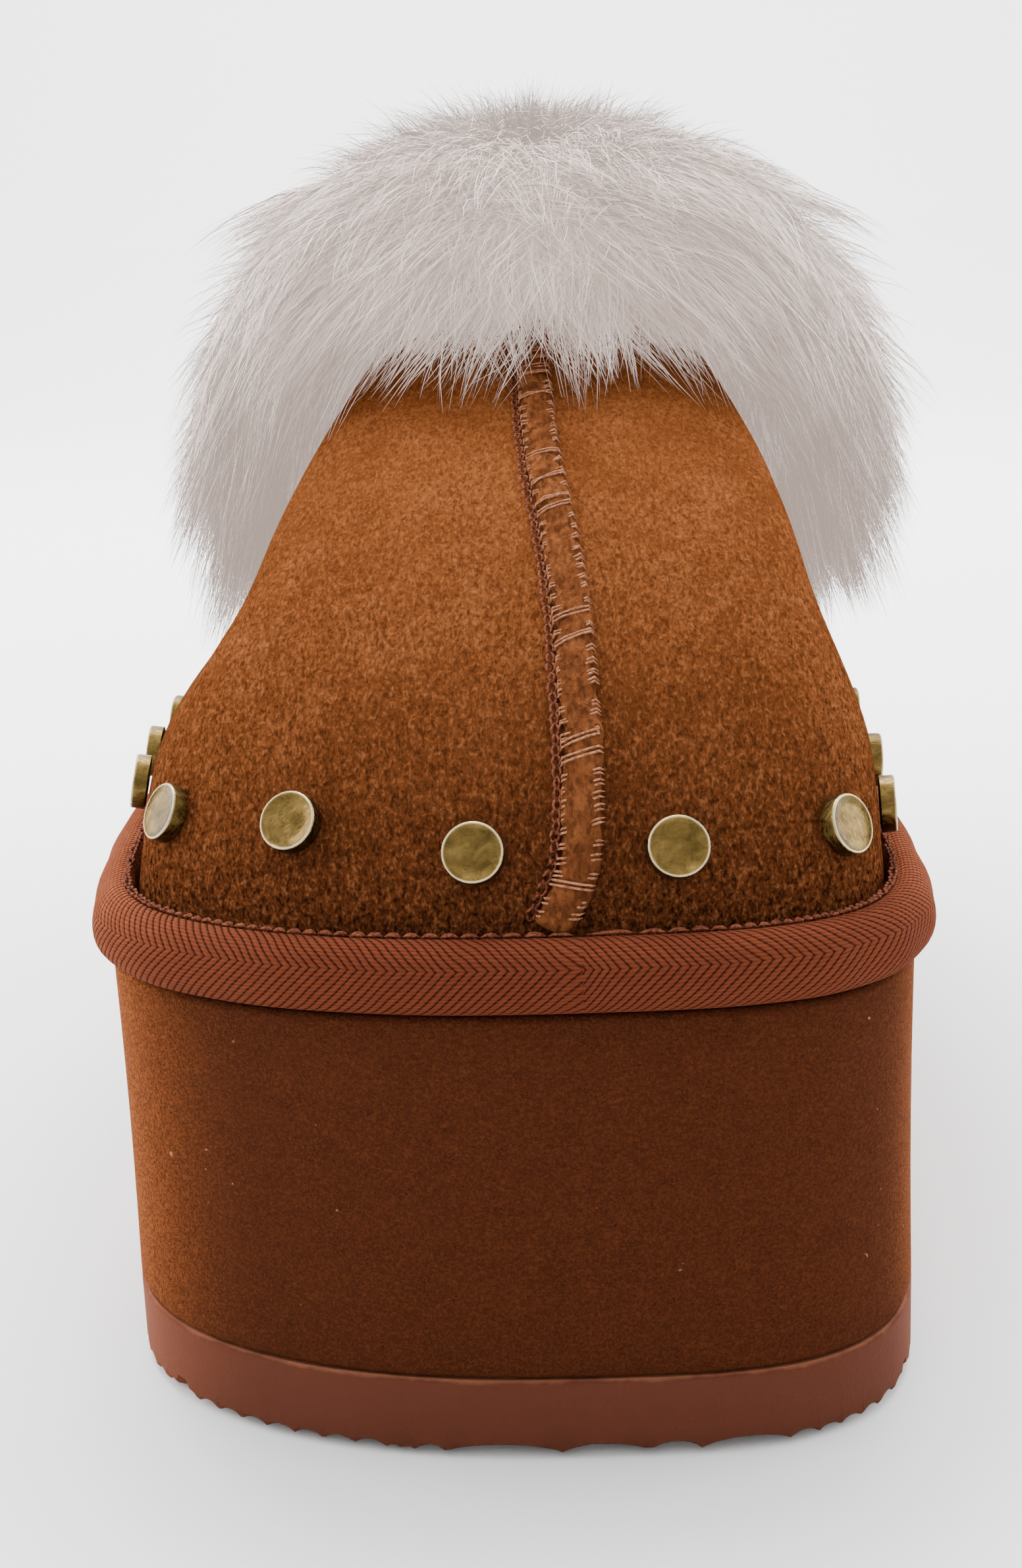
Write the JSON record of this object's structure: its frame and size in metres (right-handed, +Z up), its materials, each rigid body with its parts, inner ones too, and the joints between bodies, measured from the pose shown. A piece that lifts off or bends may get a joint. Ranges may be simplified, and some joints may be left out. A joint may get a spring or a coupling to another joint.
{
  "type": "platform clog",
  "caption": "Right platform clog: tall foam platform on a rubber outsole, hollow suede upper with raised centre seam, woven binding, a row of brass rivets and a deep fleece collar",
  "frame": {"origin": "middle of the clog's footprint box, on the floor", "axes": "+Z up, toe towards -Y, +X the inner (big toe) side of the right foot"},
  "size_m": [0.1232, 0.2774, 0.1619],
  "materials": {
    "outsole_rubber": "matt moulded rubber, dull red-brown",
    "platform_foam": "fine-pored chestnut foam, matt",
    "binding_tape": "herringbone twill tape",
    "suede": "napped chestnut suede",
    "fleece": "long off-white fleece",
    "rivet_brass": "antique brass with a brighter rim"
  },
  "bodies": {
    "root": {"outsole": "outsole_rubber", "midsole": "platform_foam", "binding": "binding_tape", "upper": "suede", "insole": "fleece", "fur_collar": "fleece", "stud_1": "rivet_brass", "stud_2": "rivet_brass", "stud_3": "rivet_brass", "stud_4": "rivet_brass", "stud_5": "rivet_brass", "stud_6": "rivet_brass", "stud_7": "rivet_brass", "stud_8": "rivet_brass", "stud_9": "rivet_brass", "stud_10": "rivet_brass", "stud_11": "rivet_brass", "stud_12": "rivet_brass", "stud_13": "rivet_brass", "stud_14": "rivet_brass", "stud_15": "rivet_brass", "stud_16": "rivet_brass", "stud_17": "rivet_brass", "stud_18": "rivet_brass", "stud_19": "rivet_brass", "stud_20": "rivet_brass", "stud_21": "rivet_brass", "stud_22": "rivet_brass", "stud_23": "rivet_brass", "stud_24": "rivet_brass", "stud_25": "rivet_brass", "stud_26": "rivet_brass", "stud_27": "rivet_brass", "stud_28": "rivet_brass"}
  },
  "joints": []
}
